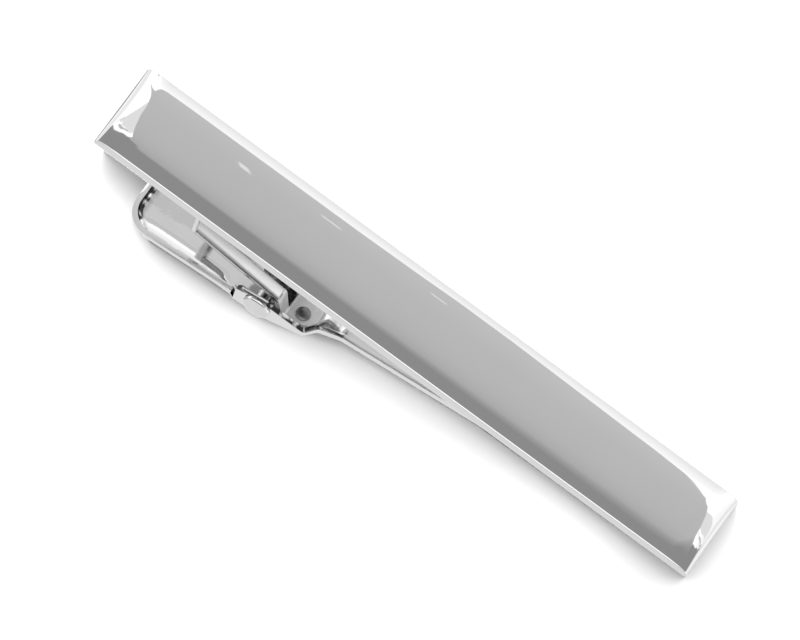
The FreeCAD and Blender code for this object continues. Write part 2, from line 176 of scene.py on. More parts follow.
def tilt_of(mount):
    """How far a face that looks down is turned about Y."""
    axis = mounts[mount]["axis"]
    return math.atan2(-axis[0], -axis[2])


BAR_TILT = tilt_of("tie_jaw")
PADDLE_ANGLE = BAR_TILT - tilt_of("paddle_back")
in_row = Matrix.Translation(pin) @ Matrix.Scale(MM, 4)
bar_frame = (in_row @ Matrix.Rotation(BAR_TILT, 4, "Y")
             @ Matrix.Translation((-PIN_FROM_END, 0.0, PIN_DROP)))
lever_frame = in_row @ Matrix.Rotation(BAR_TILT - PADDLE_ANGLE, 4, "Y")


def linear(code):
    """Linear colour from an sRGB hex code."""
    channels = [int(code[start:start + 2], 16) / 255.0 for start in (1, 3, 5)]
    return tuple(c / 12.92 if c <= 0.04045 else ((c + 0.055) / 1.055) ** 2.4 for c in channels) + (1.0,)


def blend_between(low, high, share):
    """Value a share of the way from low to high, held at the ends."""
    return low + (high - low) * min(max(share, 0.0), 1.0)


def grey(tone):
    """Even grey of a given tone."""
    return (tone, tone, tone, 1.0)


def add_node(tree, kind, inputs=None, tones=(), **settings):
    """Add a node, set it up, spread greys along its ramp, and link or fill its inputs."""
    node = tree.nodes.new(kind)
    for name, value in settings.items():
        setattr(node, name, value)
    if tones:
        (low, first), (high, _) = tones[0], tones[-1]
        stops = node.color_ramp.elements
        stops.remove(stops[-1])
        stops[0].color = grey(first)
        for place, tone in tones[1:]:
            stops.new((place - low) / (high - low)).color = grey(tone)
    for socket, value in (inputs or {}).items():
        if isinstance(value, bpy.types.NodeSocket):
            tree.links.new(value, node.inputs[socket])
        else:
            node.inputs[socket].default_value = value
    return node


def new_material(name):
    """Empty material and its node tree, with an output."""
    material = bpy.data.materials.new(name)
    material.use_nodes = True
    material.node_tree.nodes.clear()
    output = add_node(material.node_tree, "ShaderNodeOutputMaterial")
    return material, material.node_tree, output


def per_mm(period):
    """Texture scale, per metre, that repeats about every so many millimetres."""
    return 1.0 / (period * MM)


# Painted shade: a pair says at which value none of it is laid, and at which all of it. It darkens a corner
# the less open that is. It lies in patches on a bend that tips away from facing up, but not on upright faces.
PAINTED_SHADE_COLOUR = "#3A3A3A"
CORNER_REACH = 0.9
CORNER_SAMPLES = 8
CORNER_SHADE_LIMITS = (0.55, 0.3)
PRESSED_BEND_SHADE = ((0.965, 0.9), (0.38, 0.5))
SHEARED_EDGE_SHADE = ((0.74, 0.64), (0.0, 0.1))
UPRIGHT = (0.06, 0.16)
CLOUD_DETAIL = 3.0
RIPPLE_DETAIL = 2.0


def with_painted_shade(tree, colour, grain, on_bends):
    """Colour darkened by painted shade, in patches on bends or, with none given, in tight corners."""
    if on_bends:
        facing = add_node(tree, "ShaderNodeTexCoord").outputs["Normal"]
        upward = add_node(tree, "ShaderNodeSeparateXYZ", {"Vector": facing}).outputs["Z"]
        tilt, patches = on_bends
        limits = [(upward, tilt), (upward, UPRIGHT), (grain, patches)]
    else:
        openness = add_node(tree, "ShaderNodeAmbientOcclusion", {"Distance": CORNER_REACH * MM},
                            samples=CORNER_SAMPLES)
        limits = [(openness.outputs["AO"], CORNER_SHADE_LIMITS)]
    shade_share = 1.0
    for value, (none, full) in limits:
        share = add_node(tree, "ShaderNodeMapRange", {"Value": value, "From Min": none, "From Max": full})
        shade_share = add_node(tree, "ShaderNodeMath", {0: share.outputs["Result"], 1: shade_share},
                        operation="MULTIPLY").outputs["Value"]
    darkened = add_node(tree, "ShaderNodeMix", {"Factor": shade_share, "A": colour, "B": linear(PAINTED_SHADE_COLOUR)},
                        data_type="RGBA")
    return darkened.outputs["Result"]


def plated_metal(name, light, dark, roughness, ripple_mm, ripple_height_mm, cloud_mm,
                 grain=(1.0, 1.0, 1.0), in_corners=False, on_bends=None):
    """Metal whose tone and gloss drift a little, with ripples from its making and painted shade in corners or
    on bends.
    """
    material, tree, output = new_material(name)
    place = add_node(tree, "ShaderNodeTexCoord").outputs["Object"]
    drawn_out = add_node(tree, "ShaderNodeMapping", {"Vector": place, "Scale": grain}).outputs["Vector"]
    cloud = add_node(tree, "ShaderNodeTexNoise",
                     {"Vector": place, "Scale": per_mm(cloud_mm), "Detail": CLOUD_DETAIL}).outputs["Fac"]
    ripple = add_node(tree, "ShaderNodeTexNoise", {"Vector": drawn_out, "Scale": per_mm(ripple_mm),
                                                   "Detail": RIPPLE_DETAIL}).outputs["Fac"]
    colour = add_node(tree, "ShaderNodeMix", {"Factor": cloud, "A": linear(dark), "B": linear(light)},
                      data_type="RGBA").outputs["Result"]
    # Painted shade darkens the colour in tight corners or on bends that tip away from facing up.
    if in_corners or on_bends:
        colour = with_painted_shade(tree, colour, ripple, on_bends)
    gloss = add_node(tree, "ShaderNodeMapRange",
                     {"Value": ripple, "To Min": roughness[0], "To Max": roughness[1]}).outputs["Result"]
    bump = add_node(tree, "ShaderNodeBump",
                    {"Height": ripple, "Distance": ripple_height_mm * MM}).outputs["Normal"]
    shader = add_node(tree, "ShaderNodeBsdfPrincipled",
                      {"Base Color": colour, "Metallic": 1.0, "Roughness": gloss, "Normal": bump})
    tree.links.new(shader.outputs["BSDF"], output.inputs["Surface"])
    return material


# Rhodium plate on brass, buffed to a mirror: clean, sharp reflections with a very faint haze.
polished_rhodium = plated_metal("polished_rhodium_plate", light="#E2E2E2", dark="#DFDFDF",
                                roughness=(0.02, 0.04), ripple_mm=2.5, ripple_height_mm=0.0002, cloud_mm=6.0)
# The same plate on the bar's unbuffed back: a satin grey that blurs whatever lies under it.
satin_rhodium = plated_metal("satin_rhodium_plate", light="#F4F4F4", dark="#EFEFEF", roughness=(0.3, 0.4),
                             ripple_mm=0.4, ripple_height_mm=0.0006, cloud_mm=3.0)
# Bright nickel plate on a stamped sheet: glossy, with press ripples and patches of painted shade on its
# bends.
stamped_nickel = plated_metal("bright_nickel_on_stamped_sheet", light="#E9E9E9", dark="#E3E3E3",
                              roughness=(0.04, 0.09), ripple_mm=0.9, ripple_height_mm=0.004, cloud_mm=2.0,
                              on_bends=PRESSED_BEND_SHADE)
# Hard rolled spring strip: satin bright, with painted shade on the steep bevels of its sheared edges. Its
# fine rolling lines are drawn coarse enough to show.
rolled_steel = plated_metal("rolled_spring_steel", light="#D4D4D4", dark="#C8C8C8", roughness=(0.12, 0.26),
                            ripple_mm=0.25, ripple_height_mm=0.0006, cloud_mm=1.5, grain=(0.08, 1.0, 1.0),
                            on_bends=SHEARED_EDGE_SHADE)
# The spring's foot and lip, peened when it was riveted and set: a pale, dented satin.
peened_steel = plated_metal("peened_spring_steel", light="#F8F8F8", dark="#E0E0E0", roughness=(0.5, 0.65),
                            ripple_mm=0.5, ripple_height_mm=0.03, cloud_mm=0.8)
# Nickel plated brass rivets, tumbled and left dull: a dark, soft satin head with small dents.
tumbled_nickel = plated_metal("tumbled_nickel_rivet", light="#8C8C8C", dark="#707070", roughness=(0.26, 0.4),
                              ripple_mm=0.35, ripple_height_mm=0.002, cloud_mm=0.8)
# Plated brass pin, riveted over: soft gloss.
riveted_brass = plated_metal("riveted_plated_pin", light="#E4E4E4", dark="#D8D8D8", roughness=(0.06, 0.12),
                             ripple_mm=0.35, ripple_height_mm=0.002, cloud_mm=0.8)
# Folded steel with a thin, dull plate, unpolished: a mid grey made darker as painted shade under the bar,
# blurred, with more painted shade in its corners.
shaded_fold = plated_metal("folded_steel_with_painted_shade", light="#A6A6A6", dark="#8E8E8E", roughness=(0.2, 0.32),
                         ripple_mm=0.6, ripple_height_mm=0.002, cloud_mm=1.2, in_corners=True)


def finish_piece(name, builder, to_row, material, node, sheet=None, bevel=None):
    """Turn a drawn mesh into a finished piece that stands for its CAD node."""
    bmesh.ops.recalc_face_normals(builder, faces=builder.faces)
    mesh = bpy.data.meshes.new(name)
    builder.to_mesh(mesh)
    builder.free()
    piece = bpy.data.objects.new(name, mesh)
    bpy.context.scene.collection.objects.link(piece)
    if sheet:
        thicken = piece.modifiers.new("sheet", "SOLIDIFY")
        thicken.thickness = sheet
        thicken.offset = 0.0
        thicken.use_even_offset = True
    if bevel:
        soften = piece.modifiers.new("edges", "BEVEL")
        soften.width = bevel
        soften.segments = EDGE_SEGMENTS
        soften.limit_method = "ANGLE"
        soften.angle_limit = EDGE_ANGLE
    seen = piece.evaluated_get(bpy.context.evaluated_depsgraph_get())
    piece.data = bpy.data.meshes.new_from_object(seen)
    piece.modifiers.clear()
    piece.data.transform(to_row)
    piece.data.shade_smooth()
    piece.data.set_sharp_from_angle(angle=SHARP_ANGLE)
    piece.data.materials.clear()
    piece.data.materials.append(material)
    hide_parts(node)
    return piece


def bridge(builder, first, second, closed=True):
    """Join two rows of corners with four-sided faces."""
    count = len(first)
    for step in range(count if closed else count - 1):
        after = (step + 1) % count
        builder.faces.new((first[step], first[after], second[after], second[step]))


def bar_section(crown, edge):
    """Closed section of the bar with a given crown and edge height, round from the middle of its back."""
    half = BAR_WIDTH / 2.0
    dome = (half ** 2 + crown ** 2) / (2.0 * crown)
    lean = math.asin(half / dome)
    seat = BAR_TOP_ROUND * math.tan((math.pi / 2.0 - lean) / 2.0)
    points = [(half * share, 0.0) for share in BACK_SHARES]
    for step in range(BEND_STEPS + 1):
        turn = math.pi / 2.0 * (step / BEND_STEPS - 1.0)
        points.append((half - BAR_BACK_ROUND + BAR_BACK_ROUND * math.cos(turn),
                       BAR_BACK_ROUND + BAR_BACK_ROUND * math.sin(turn)))
    for step in range(BEND_STEPS + 1):
        turn = (math.pi / 2.0 - lean) * step / BEND_STEPS
        points.append((half - BAR_TOP_ROUND + BAR_TOP_ROUND * math.cos(turn),
                       edge - seat + BAR_TOP_ROUND * math.sin(turn)))
    # A point just inside the rim keeps its round from shading the dome.
    rim = points[-1][0]
    for share in [RIM_HOLD] + [step / DOME_STEPS for step in range(1, DOME_STEPS + 1)]:
        across = rim * (1.0 - share)
        points.append((across, edge + crown - dome + math.sqrt(dome ** 2 - across ** 2)))
    return points + [(-across, up) for across, up in reversed(points[1:-1])]


def make_bar():
    """Domed bar, flat behind, whose crown runs out at both ends and whose end edges roll over."""

    def ring_at(along, inset):
        from_end = min(along, BAR_LENGTH - along)
        short = max(1.0 - from_end / END_ROLL_LENGTH, 0.0)
        rolled = max(1.0 - from_end / END_DROP_LENGTH, 0.0)
        edge = BAR_EDGE - END_DROP * rolled ** END_DROP_POWER
        crown = max(BAR_CROWN * (1.0 - short ** 2), END_CROWN_LEFT)
        narrowed = 1.0 - 2.0 * inset / BAR_WIDTH
        return [(along, across * narrowed, up + inset * (1.0 - 2.0 * up / edge))
                for across, up in bar_section(crown, edge)]

    roll = [END_DROP_LENGTH * (1.0 - math.cos(math.pi / 2.0 * step / ROLL_STEPS))
            for step in range(ROLL_STEPS)]
    roll += [blend_between(END_DROP_LENGTH, END_ROLL_LENGTH, step / ROLL_STEPS)
             for step in range(ROLL_STEPS + 1)]
    stations = []
    for along in roll:
        sunk = max(1.0 - along / BAR_CORNER_ROUND, 0.0)
        stations.append((along, BAR_CORNER_ROUND * (1.0 - math.sqrt(1.0 - sunk ** 2))))
    middle = [(blend_between(END_ROLL_LENGTH, BAR_LENGTH - END_ROLL_LENGTH, step / ROLL_STEPS), 0.0)
              for step in range(1, ROLL_STEPS)]
    mirrored = [(BAR_LENGTH - along, inset) for along, inset in reversed(stations)]
    builder = bmesh.new()
    rings = []
    for along, inset in stations + middle + mirrored:
        rings.append([builder.verts.new(point) for point in ring_at(along, inset)])
    for first, second in zip(rings, rings[1:]):
        bridge(builder, first, second)
    builder.faces.new(rings[0])
    builder.faces.new(rings[-1])
    piece = finish_piece("domed_bar", builder, bar_frame, polished_rhodium, "front_bar")
    piece.data.materials.append(satin_rhodium)
    behind = bar_frame.to_3x3() @ Vector((0.0, 0.0, -1.0))
    for face in piece.data.polygons:
        if face.normal.angle(behind) < BACK_LEAN:
            face.material_index = SECOND_FINISH
    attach(piece, "bar")


def rounded_path(corners):
    """Points along a path with rounded corners, each with the direction to its left."""
    points = []
    spots = [Vector(corner[:2]) for corner in corners]

    def straight(start, end):
        length = (end - start).length
        if length < SHORTEST:
            return
        ahead = (end - start) / length
        count = max(math.ceil(length / SIDE_STEP), 1)
        for step in range(count):
            points.append((start.lerp(end, step / count), Vector((-ahead.y, ahead.x))))

    at = spots[0]
    for before, here, after, corner in zip(spots, spots[1:], spots[2:], corners[1:]):
        radius = corner[2]
        came, goes = (here - before).normalized(), (after - here).normalized()
        turn = -came.angle_signed(goes)
        reach = radius * math.tan(abs(turn) / 2.0)
        start = here - came * reach
        straight(at, start)
        at = here + goes * reach
        left = Vector((-came.y, came.x))
        centre = start + left * math.copysign(radius, turn)
        count = math.ceil(abs(turn) / ARC_STEP) if radius else 0
        for step in range(count):
            part = Matrix.Rotation(turn * step / count, 2)
            points.append((centre + part @ (start - centre), part @ left))
    straight(at, spots[-1])
    points.append((spots[-1], Vector((-goes.y, goes.x))))
    return points


def under_bar(along, gap):
    """Height in the lever frame of a line that lies a gap below the back of the bar."""
    return (PIN_DROP - gap - along * math.sin(PADDLE_ANGLE)) / math.cos(PADDLE_ANGLE)


def through(knots, along):
    """Height on a line with straight runs between its knots."""
    for (start, low), (end, high) in zip(knots, knots[1:]):
        if along <= end:
            return blend_between(low, high, (along - start) / (end - start))
    return knots[-1][1]


# Lines along the lever, in its own frame: the middle of its sheet, and the top of its ears and flanges
ARM_START = KINK_START + KINK_RUN
FLOOR_MID = FLOOR_TOP - SHEET / 2.0
ARM_TIP = under_bar(ARM_REACH, TOOTH_GAP) - NOSE_HEIGHT + SHEET / 2.0
floor_line = [(-PADDLE_TAIL, FLOOR_MID), (KINK_START, FLOOR_MID), (ARM_START, FLOOR_MID + KINK_RISE),
              (ARM_REACH, ARM_TIP)]
flange = ARM_FLANGE - SHEET / 2.0
SHOULDER = KINK_START - SHOULDER_RUN
ear_line = [(EAR_BACK, EAR_TOP - EAR_CORNER), (EAR_BACK + EAR_CORNER, EAR_TOP), (EAR_FLAT_END, EAR_TOP),
            (SHOULDER, EAR_TAIL), (KINK_START, FLOOR_MID + flange),
            (ARM_START, FLOOR_MID + KINK_RISE + flange), (ARM_REACH, ARM_TIP + flange)]


def lever_floor(along):
    """Height of the middle of the lever's sheet, with its two kinks eased."""
    samples = [through(floor_line, along + KINK_EASE * shift) for shift in EASE_SHIFTS]
    return sum(samples) / len(samples)


def wall_top(along, across):
    """Height of the lever's rim, ear, flange or toothed nose."""
    if along < EAR_BACK - EAR_NOTCH / 2.0:
        return RIM_TOP
    side = through(ear_line, along)
    corner = ARM_REACH - SHEET / 2.0 - (ARM_WIDTH - SHEET - NOSE_TEETH * TOOTH_PITCH) / 2.0
    if along < corner:
        return side
    notch = abs((across / TOOTH_PITCH + 0.5) % 1.0 - 0.5) * 2.0
    return max(side, under_bar(along, TOOTH_GAP) - TOOTH_DEPTH * notch)


def make_lever():
    """One pressing: dished paddle, two ears, kinked neck and a channel arm with a toothed nose."""
    inner = SHEET / 2.0
    tail, nose = inner - PADDLE_TAIL, ARM_REACH - inner
    wide, narrow = LEVER_WIDTH / 2.0 - inner, ARM_WIDTH / 2.0 - inner
    drawn_in = SHOULDER_WIDTH / 2.0 - inner
    nose_flat = NOSE_TEETH * TOOTH_PITCH / 2.0
    corners = [
        (nose, -nose_flat, 0.0),
        (nose, -narrow, narrow - nose_flat),
        (KINK_START, -narrow, SHOULDER_ROUND),
        (SHOULDER, -drawn_in, SHOULDER_ROUND),
        (EAR_FLAT_END, -wide, SHOULDER_ROUND),
        (EAR_BACK, -wide, 0.0),
        (EAR_BACK - EAR_NOTCH, -wide, 0.0),
        (tail, -wide, TAIL_CORNER - inner),
        (tail, -(wide - TAIL_CORNER + inner), 0.0),
    ]
    near = rounded_path(corners)
    far = [(Vector((spot.x, -spot.y)), Vector((out.x, -out.y))) for spot, out in reversed(near)]

    def across_end(start, end, out):
        return [(start.lerp(end, step / LEVER_COLUMNS), out) for step in range(1, LEVER_COLUMNS)]

    tail_end = across_end(near[-1][0], far[0][0], Vector((-1.0, 0.0)))
    nose_end = across_end(far[-1][0], near[0][0], Vector((1.0, 0.0)))
    loop = near + tail_end + far + nose_end

    def past_paddle(along):
        return (along - EAR_BACK + EAR_NOTCH) / EAR_NOTCH

    def dish(spot, from_edge):
        rise = blend_between(DISH_RISE, 0.0, past_paddle(spot.x + DISH_RUN) * EAR_NOTCH / DISH_RUN)
        return rise * max(1.0 - from_edge / DISH_RUN, 0.0) ** 2

    builder = bmesh.new()
    rings = [[] for _ in range(BEND_STEPS + WALL_STEPS + 1)]
    for spot, out in loop:
        bend = blend_between(PADDLE_BEND, TIGHT_BEND, past_paddle(spot.x))
        rise = dish(spot, 0.0)
        tilt = DISH_TILT * rise / DISH_RISE
        base = spot - out * bend
        floor = lever_floor(base.x) + rise - bend * (1.0 - math.cos(tilt))
        for step in range(BEND_STEPS + 1):
            turn = blend_between(tilt, math.pi / 2.0, step / BEND_STEPS)
            place = base + out * bend * math.sin(turn)
            height = floor + bend * (1.0 - math.cos(turn))
            rings[step].append(builder.verts.new((place.x, place.y, height)))
        top = wall_top(spot.x, spot.y)
        for step in range(1, WALL_STEPS + 1):
            height = blend_between(floor + bend, top, step / WALL_STEPS)
            rings[BEND_STEPS + step].append(builder.verts.new((spot.x, spot.y, height)))
    for number, (first, second) in enumerate(zip(rings, rings[1:])):
        for step in range(len(loop)):
            after = (step + 1) % len(loop)
            middle = (loop[step][0].x + loop[after][0].x) / 2.0
            in_notch = EAR_BACK - EAR_NOTCH < middle < EAR_BACK
            if number >= BEND_STEPS and in_notch:
                continue
            builder.faces.new((first[step], first[after], second[after], second[step]))
    # The loop runs down the near side, round the tail, back up the far side and round the nose.
    edge = rings[0]
    tail_edge = edge[len(near)].co.x
    rows = []
    for step in range(len(near)):
        left, right = edge[step], edge[2 * len(near) + LEVER_COLUMNS - 2 - step]
        row = [left]
        for column in range(1, LEVER_COLUMNS):
            if step == 0:
                row.append(edge[len(loop) - column])
            elif step == len(near) - 1:
                row.append(edge[len(near) + column - 1])
            else:
                place = left.co.lerp(right.co, column / LEVER_COLUMNS)
                from_edge = min((place - left.co).length, (place - right.co).length, place.x - tail_edge)
                height = lever_floor(place.x) + dish(place, from_edge)
                row.append(builder.verts.new((place.x, place.y, height)))
        rows.append(row + [right])
    for first, second in zip(rows, rows[1:]):
        bridge(builder, first, second, closed=False)
    piece = finish_piece("pressed_lever", builder, lever_frame, stamped_nickel, "clip_lever",
                         sheet=SHEET, bevel=LEVER_EDGE)
    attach(piece, "lever")


def make_spring():
    """Forked flat spring: a riveted foot, two risers, two twisted prongs and a lip that bears on the bar."""
    inner = SPRING_SHEET / 2.0
    riser, riser_foot = RISER_FRONT - inner, RISER_FRONT + RISER_LEAN - inner
    lip = RISER_FRONT - BLADE_RUN + inner
    foot = FLOOR_TOP + inner
    half, slot = SPRING_WIDTH / 2.0, SLOT_WIDTH / 2.0

    def blade(along):
        return BLADE_HEIGHT + (RISER_FRONT - along) * BLADE_SLOPE - inner * math.hypot(1.0, BLADE_SLOPE)

    lip_top = under_bar(lip, LIP_GAP)

    def lift(spot, across):
        up_riser = (spot.y - foot) / (blade(riser) - foot)
        down_lip = (lip_top - spot.y) / (lip_top - blade(lip))
        twist = blend_between(0.0, math.tan(PRONG_TWIST), min(up_riser, down_lip))
        inward = min(half - abs(across), half - slot)
        if inward < PRONG_EDGE_FLAT:
            return twist * inward ** 2 / (2.0 * PRONG_EDGE_FLAT)
        return twist * (inward - PRONG_EDGE_FLAT / 2.0)

    side = rounded_path([
        (SPRING_FOOT_END, foot, 0.0),
        (riser_foot, foot, SPRING_BEND),
        (riser, blade(riser), SPRING_BEND),
        (lip, blade(lip), LIP_BEND),
        (lip, lip_top, 0.0),
    ])
    across = [blend_between(-half, -slot, step / PRONG_COLUMNS) for step in range(PRONG_COLUMNS + 1)]
    across += [blend_between(-slot, slot, step / SLOT_COLUMNS) for step in range(1, SLOT_COLUMNS)]
    across += [-place for place in reversed(across[:PRONG_COLUMNS + 1])]
    builder = bmesh.new()
    rows = []
    foot_widths = [(RISER_FRONT, 1.0), (SHOULDER, SPRING_FOOT_WIDTH / SPRING_WIDTH),
                   (SPRING_FOOT_END, SPRING_FOOT_TIP / SPRING_WIDTH)]
    for spot, _ in side:
        width = through(foot_widths, spot.x)
        rows.append([builder.verts.new((spot.x, place * width, spot.y + lift(spot, place)))
                     for place in across])
    for first, second in zip(rows, rows[1:]):
        middle = (first[0].co.x + second[0].co.x) / 2.0
        forked = lip + inner + CROSSBAR < middle < riser_foot + inner
        for step in range(len(across) - 1):
            if forked and PRONG_COLUMNS <= step < PRONG_COLUMNS + SLOT_COLUMNS:
                continue
            builder.faces.new((first[step], first[step + 1], second[step + 1], second[step]))
    loose = [vert for vert in builder.verts if not vert.link_faces]
    bmesh.ops.delete(builder, geom=loose, context="VERTS")
    piece = finish_piece("forked_spring", builder, lever_frame, rolled_steel, "fork_spring",
                         sheet=SPRING_SHEET, bevel=SPRING_EDGE)
    piece.data.materials.append(peened_steel)
    to_lever = lever_frame.inverted()
    for face in piece.data.polygons:
        if not lip + SPRING_SHEET < (to_lever @ face.center).x < riser:
            face.material_index = SECOND_FINISH
    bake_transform(piece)


def turned(profile, axis):
    """Mesh turned from a half profile of radius and height about Y or Z."""
    builder = bmesh.new()
    rings = []
    for radius, height in profile:
        ring = []
        for step in range(LATHE_STEPS):
            turn = 2.0 * math.pi * step / LATHE_STEPS
            side, front = radius * math.cos(turn), radius * math.sin(turn)
            ring.append(builder.verts.new((side, height, front) if axis == "Y" else (side, front, height)))
        rings.append(ring)
    for first, second in zip(rings, rings[1:]):
        bridge(builder, first, second)
    builder.faces.new(rings[0])
    builder.faces.new(rings[-1])
    return builder


def rivet_head(radius, base, height):
    """Crowned head in half profile: a short straight rim, then a crown that ends near its middle."""
    points = [(radius, base)]
    for step in range(HEAD_STEPS):
        turn = math.pi / 2.0 * step / HEAD_STEPS
        rise = HEAD_RIM_SHARE + (1.0 - HEAD_RIM_SHARE) * math.sin(turn)
        points.append((radius * math.cos(turn), base + height * rise))
    return points


def make_pin():
    """Hinge pin with a crowned rivet head outside each ear."""
    half = [(PIN_RADIUS, PIN_HEAD_FROM_MIDDLE)]
    half += rivet_head(PIN_HEAD_RADIUS, PIN_HEAD_FROM_MIDDLE, PIN_HEAD_HEIGHT)
    profile = [(radius, -height) for radius, height in reversed(half)] + half
    piece = finish_piece("riveted_pin", turned(profile, "Y"), in_row, riveted_brass, "hinge_pin")
    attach(piece, "bar")


def make_rivet(side, across):
    """Rivet through the spring's foot, with a crowned head above and a flush end below."""
    seat, underside = FLOOR_TOP + SPRING_SHEET, FLOOR_TOP - SHEET
    profile = [(RIVET_RADIUS, underside), (RIVET_RADIUS, seat)]
    profile += rivet_head(RIVET_HEAD_RADIUS, seat, RIVET_HEAD_HEIGHT)
    to_row = lever_frame @ Matrix.Translation((RIVET_FROM_PIN, across, 0.0))
    piece = finish_piece(f"foot_rivet_{side}", turned(profile, "Z"), to_row, tumbled_nickel,
                         f"spring_rivet_{side}")
    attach(piece, "lever")


def add_plate(builder, outline, low, high, upright):
    """Flat plate with a given outline, standing across the bar or lying along it."""
    rings = []
    for level in (low, high):
        ring = []
        for first, second in outline:
            ring.append(builder.verts.new((first, level, second) if upright else (first, second, level)))
        rings.append(ring)
    bridge(builder, rings[0], rings[1])
    builder.faces.new(rings[0])
    builder.faces.new(rings[1])


def make_bracket():
    """Bracket behind the bar: a soldered foot and two lugs with rounded ends that hold the pin."""
    half_length, half_width = FOOT_LENGTH / 2.0, FOOT_WIDTH / 2.0
    foot = []
    for corner, (side_x, side_y) in enumerate(((1, 1), (-1, 1), (-1, -1), (1, -1))):
        for step in range(BEND_STEPS + 1):
            turn = math.pi / 2.0 * (corner + step / BEND_STEPS)
            foot.append((side_x * (half_length - FOOT_CORNER) + FOOT_CORNER * math.cos(turn),
                         side_y * (half_width - FOOT_CORNER) + FOOT_CORNER * math.sin(turn)))
    slope = math.atan2(LUG_TOP_WIDTH / 2.0 - LUG_RADIUS, PIN_DROP - BRACKET_SHEET)
    lug = [(-LUG_TOP_WIDTH / 2.0, -BRACKET_SHEET)]
    for step in range(LUG_STEPS + 1):
        turn = blend_between(math.pi + slope, 2.0 * math.pi - slope, step / LUG_STEPS)
        lug.append((LUG_RADIUS * math.cos(turn), LUG_RADIUS * math.sin(turn) - PIN_DROP))
    lug.append((LUG_TOP_WIDTH / 2.0, -BRACKET_SHEET))
    outer, inside = BRACKET_WIDTH / 2.0, BRACKET_WIDTH / 2.0 - BRACKET_SHEET
    builder = bmesh.new()
    add_plate(builder, foot, -BRACKET_SHEET, -SOLDER_FILM, upright=False)
    add_plate(builder, lug, inside, outer, upright=True)
    add_plate(builder, lug, -outer, -inside, upright=True)
    to_row = bar_frame @ Matrix.Translation((PIN_FROM_END, 0.0, 0.0))
    piece = finish_piece("soldered_bracket", builder, to_row, shaded_fold, "hinge_bracket",
                         bevel=BRACKET_EDGE)
    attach(piece, "bar")


make_bar()
make_lever()
make_spring()
make_pin()
make_rivet("left", RIVET_FROM_MIDDLE)
make_rivet("right", -RIVET_FROM_MIDDLE)
make_bracket()

# Camera: seen square to the bar's length, well above its near edge, through a long lens, from metres away
FRAME_WIDTH_PX = 800.0
FRAME_HEIGHT_PX = 640.0
PX_PER_MM = 12.67
CORNER_PX = Vector((95.74, 138.34))
BAR_RUN = Vector((0.80584, -0.59213))
VIEW_ABOVE_BAR = math.radians(62.6)
CAMERA_DISTANCE = 1.5
CAMERA_SIGHT = 10.0
SENSOR_MM = 36.0

turn_to_row = Matrix.Rotation(BAR_TILT, 3, "Y")
towards_camera = turn_to_row @ Vector((0.0, -math.cos(VIEW_ABOVE_BAR), math.sin(VIEW_ABOVE_BAR)))
along_bar = turn_to_row @ Vector((1.0, 0.0, 0.0))
across_bar = towards_camera.cross(along_bar)
camera_right = along_bar * BAR_RUN.x - across_bar * BAR_RUN.y
camera_up = along_bar * BAR_RUN.y + across_bar * BAR_RUN.x
near_corner = bar_frame @ Vector((0.0, -BAR_WIDTH / 2.0, BAR_EDGE))
middle_px = Vector((FRAME_WIDTH_PX / 2.0, FRAME_HEIGHT_PX / 2.0))
offset = (middle_px - CORNER_PX) * MM / PX_PER_MM
target = near_corner + camera_right * offset.x - camera_up * offset.y
camera_data = bpy.data.cameras.new("camera")
camera_data.sensor_width = SENSOR_MM
camera_data.lens = SENSOR_MM * CAMERA_DISTANCE / (FRAME_WIDTH_PX / PX_PER_MM * MM)
camera_data.clip_end = CAMERA_SIGHT
camera = bpy.data.objects.new("camera", camera_data)
camera_turn = Matrix((camera_right, camera_up, towards_camera)).transposed().to_4x4()
camera.matrix_world = Matrix.Translation(target + towards_camera * CAMERA_DISTANCE) @ camera_turn
bpy.context.scene.collection.objects.link(camera)
bpy.context.scene.camera = camera
bpy.context.scene.view_settings.view_transform = "Standard"


# Paper: its two tones and the size of its fibres in millimetres, and how far it reaches in metres
PAPER_DARK = "#E5E5E5"
PAPER_LIGHT = "#E9E9E9"
PAPER_ROUGHNESS = 0.9
FIBRE_MM = 0.8
FIBRE_DETAIL = 4.0
FLOOR_REACH = 1.5


def make_floor():
    """Matte white paper under the clip, left out of reflections, where the room's own paler half shows."""
    material, tree, output = new_material("matte_white_paper")
    place = add_node(tree, "ShaderNodeTexCoord").outputs["Object"]
    fibre = add_node(tree, "ShaderNodeTexNoise",
                     {"Vector": place, "Scale": per_mm(FIBRE_MM), "Detail": FIBRE_DETAIL}).outputs["Fac"]
    tone = add_node(tree, "ShaderNodeMix",
                    {"Factor": fibre, "A": linear(PAPER_DARK), "B": linear(PAPER_LIGHT)}, data_type="RGBA")
    shader = add_node(tree, "ShaderNodeBsdfPrincipled",
                      {"Base Color": tone.outputs["Result"], "Roughness": PAPER_ROUGHNESS,
                       "Specular IOR Level": 0.0})
    tree.links.new(shader.outputs["BSDF"], output.inputs["Surface"])
    mesh = bpy.data.meshes.new("floor")
    corners = [(FLOOR_REACH * side_x, FLOOR_REACH * side_y, 0.0)
               for side_x, side_y in ((-1, -1), (1, -1), (1, 1), (-1, 1))]
    mesh.from_pydata(corners, [], [(0, 1, 2, 3)])
    mesh.materials.append(material)
    floor = bpy.data.objects.new("floor", mesh)
    floor.visible_glossy = False
    bpy.context.scene.collection.objects.link(floor)


# Studio: a white room, and cards arched over the bar that only show in its polish.
# Each card is drawn by rows: degrees from the bar's face towards its far side, then where it starts and
# ends along the bar in millimetres.
CARD_RADIUS = 100.0
CARD_LAYER = 1.0
CARD_STEPS = 96
FAR_LEFT = -200.0
FAR_RIGHT = 240.0
DARK_TONE = 0.34
LINE_TONE = 0.62
PALE_TONE = 0.97
LAMP_TONE = 1.0
